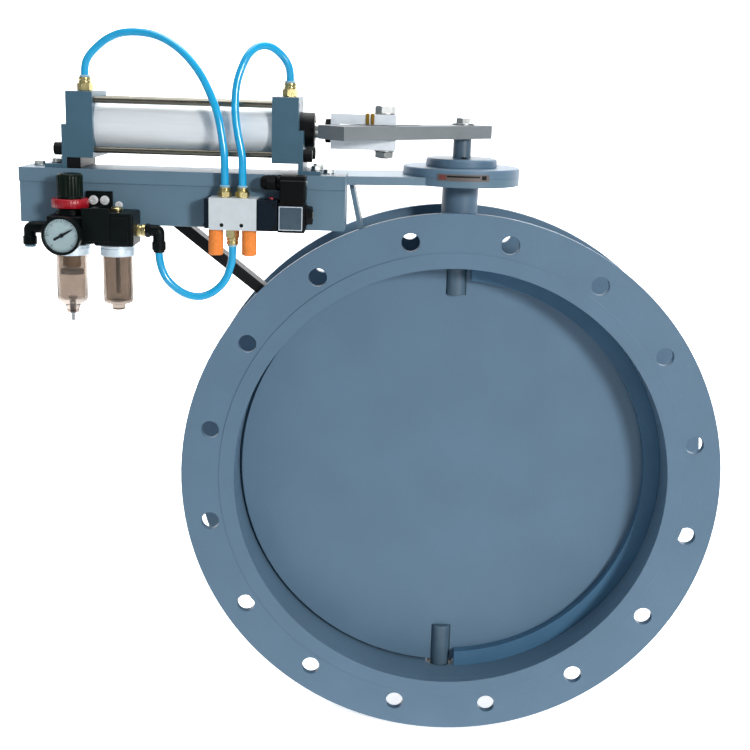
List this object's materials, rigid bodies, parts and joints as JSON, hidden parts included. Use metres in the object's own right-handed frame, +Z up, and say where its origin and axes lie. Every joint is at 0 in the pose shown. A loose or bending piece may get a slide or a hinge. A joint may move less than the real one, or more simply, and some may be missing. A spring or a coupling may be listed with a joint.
{
  "type": "pneumatic butterfly valve",
  "caption": "Flanged round butterfly valve turned by a bracket-mounted pneumatic cylinder through a slotted crank arm, with air filter unit, solenoid valve and blue air hoses.",
  "frame": {"origin": "centre of the front flange's raised face, on the pipe axis", "axes": "+Y along the pipe from the front flange to the rear one, +Z up along the valve's stem, +X away from the cylinder, to the right in the front view"},
  "size_m": [0.7595, 0.239, 0.7853],
  "materials": {
    "valve_paint": "satin slate blue-grey paint",
    "bracket_paint": "satin slate grey paint",
    "seat_steel": "painted steel bar",
    "bronze": "plain bearing bronze",
    "seal_rubber": "black seal material",
    "indicator_strip": "pale printed strip, left plain",
    "zinc": "zinc plated steel",
    "cap_paint": "satin grey paint on aluminium",
    "anodised_barrel": "satin anodised tube",
    "bright_rod": "bright ground steel",
    "black_metal": "black oxide",
    "fork_nickel": "nickel plated steel",
    "piston_alloy": "machined alloy",
    "unit_black": "moulded black plastic",
    "red_ring": "red plastic",
    "knob_plastic": "dark green-black plastic",
    "gauge_glass": "clear window",
    "needle_black": "black painted pointer",
    "bowl_brown": "smoked brown translucent bowl",
    "element_gold": "sintered element and white tube",
    "collar_silver": "satin ring",
    "brass": "turned brass",
    "valve_alloy": "satin cast alloy",
    "pilot_plastic": "dark navy plastic",
    "coil_black": "moulded black plastic",
    "orange_silencer": "sintered orange silencer",
    "hose_blue": "blue polyurethane hose"
  },
  "bodies": {
    "valve_and_bracket": {"front_flange": "valve_paint", "rear_flange": "valve_paint", "body_shell": "valve_paint", "seat_rings": "seat_steel", "bearing_necks": "valve_paint", "stem_bushes": "bronze", "shaft_seals": "seal_rubber", "mount_plate": "bracket_paint", "stem_flange": "valve_paint", "gland_disc": "valve_paint", "indicator_plate": "indicator_strip", "bracket_beam": "bracket_paint", "beam_lid": "bracket_paint", "bracket_legs": "bracket_paint", "zinc_fasteners": "zinc", "rear_cap": "cap_paint", "front_cap": "cap_paint", "barrel": "anodised_barrel", "tie_rods": "bright_rod", "rod_gland": "black_metal", "foot_brackets": "zinc", "foot_screws": "black_metal", "spacer_block": "black_metal", "regulator_body": "unit_black", "lubricator_body": "unit_black", "joining_bracket": "unit_black", "lock_ring": "red_ring", "gauge_case": "unit_black", "gauge_glass": "gauge_glass", "filter_bowl": "bowl_brown", "bowl_inserts": "element_gold", "lubricator_bowl": "bowl_brown", "bowl_collars": "collar_silver", "push_in_elbows": "unit_black", "brass_fittings": "brass", "valve_block": "valve_alloy", "pilot_blocks": "pilot_plastic", "coil": "coil_black", "connector": "coil_black", "silencers": "orange_silencer", "rear_hose": "hose_blue", "front_hose": "hose_blue", "supply_hose": "hose_blue"},
    "rod_line": {"piston": "piston_alloy", "piston_seals": "seal_rubber", "piston_rod": "bright_rod", "lock_nut": "black_metal", "rod_fork": "fork_nickel", "fork_pin": "zinc"},
    "stem_and_disc": {"half_shafts": "bright_rod", "disc_plate": "valve_paint", "crank_arm": "bracket_paint", "arm_fasteners": "zinc"},
    "spindle": {"adjusting_spindle": "piston_alloy"},
    "knob": {"regulator_knob": "knob_plastic"},
    "needle": {"gauge_needle": "needle_black"},
    "drain": {"drain_valve": "brass"},
    "oil_screw": {"oil_adjuster": "brass"},
    "button": {"override_button": "red_ring"},
    "valve_spool": {"spool": "piston_alloy"}
  },
  "joints": [
    {"name": "stem_turn", "type": "hinge", "parent": "valve_and_bracket", "child": "stem_and_disc", "pos_m": [0, 0.057, 0], "axis": [0, 0, 1], "range_deg": [0, 90]},
    {"name": "rod_slide", "type": "slide", "parent": "valve_and_bracket", "child": "rod_line", "axis": [1, 0, 0], "range_m": [0, 0.15]},
    {"name": "spindle_turn", "type": "hinge", "parent": "valve_and_bracket", "child": "spindle", "pos_m": [-0.399, -0.076, 0.3], "axis": [0, 0, 1], "range_deg": [-720, 720]},
    {"name": "knob_pull", "type": "slide", "parent": "spindle", "child": "knob", "axis": [0, 0, 1], "range_m": [0, 0.0025]},
    {"name": "needle_turn", "type": "hinge", "parent": "valve_and_bracket", "child": "needle", "pos_m": [-0.399, -0.1141, 0.281], "axis": [0, 1, 0], "range_deg": [-195, 75], "stiffness_Nm_per_rad": 0.005},
    {"name": "drain_push", "type": "slide", "parent": "valve_and_bracket", "child": "drain", "axis": [0, 0, 1], "range_m": [0, 0.002], "stiffness_N_per_m": 400},
    {"name": "oil_adjuster_turn", "type": "hinge", "parent": "valve_and_bracket", "child": "oil_screw", "pos_m": [-0.352, -0.076, 0.303], "axis": [0, 0, 1], "range_deg": [-180, 180]},
    {"name": "override_push", "type": "slide", "parent": "valve_and_bracket", "child": "button", "axis": [0, 0, -1], "range_m": [0, 0.0015], "stiffness_N_per_m": 500},
    {"name": "spool_shift", "type": "slide", "parent": "valve_and_bracket", "child": "valve_spool", "axis": [1, 0, 0], "range_m": [0, 0.004], "stiffness_N_per_m": 500}
  ],
  "couplings": [
    {"joint": "rod_slide", "follows": "stem_turn", "m_per_rad": 0.095492}
  ]
}
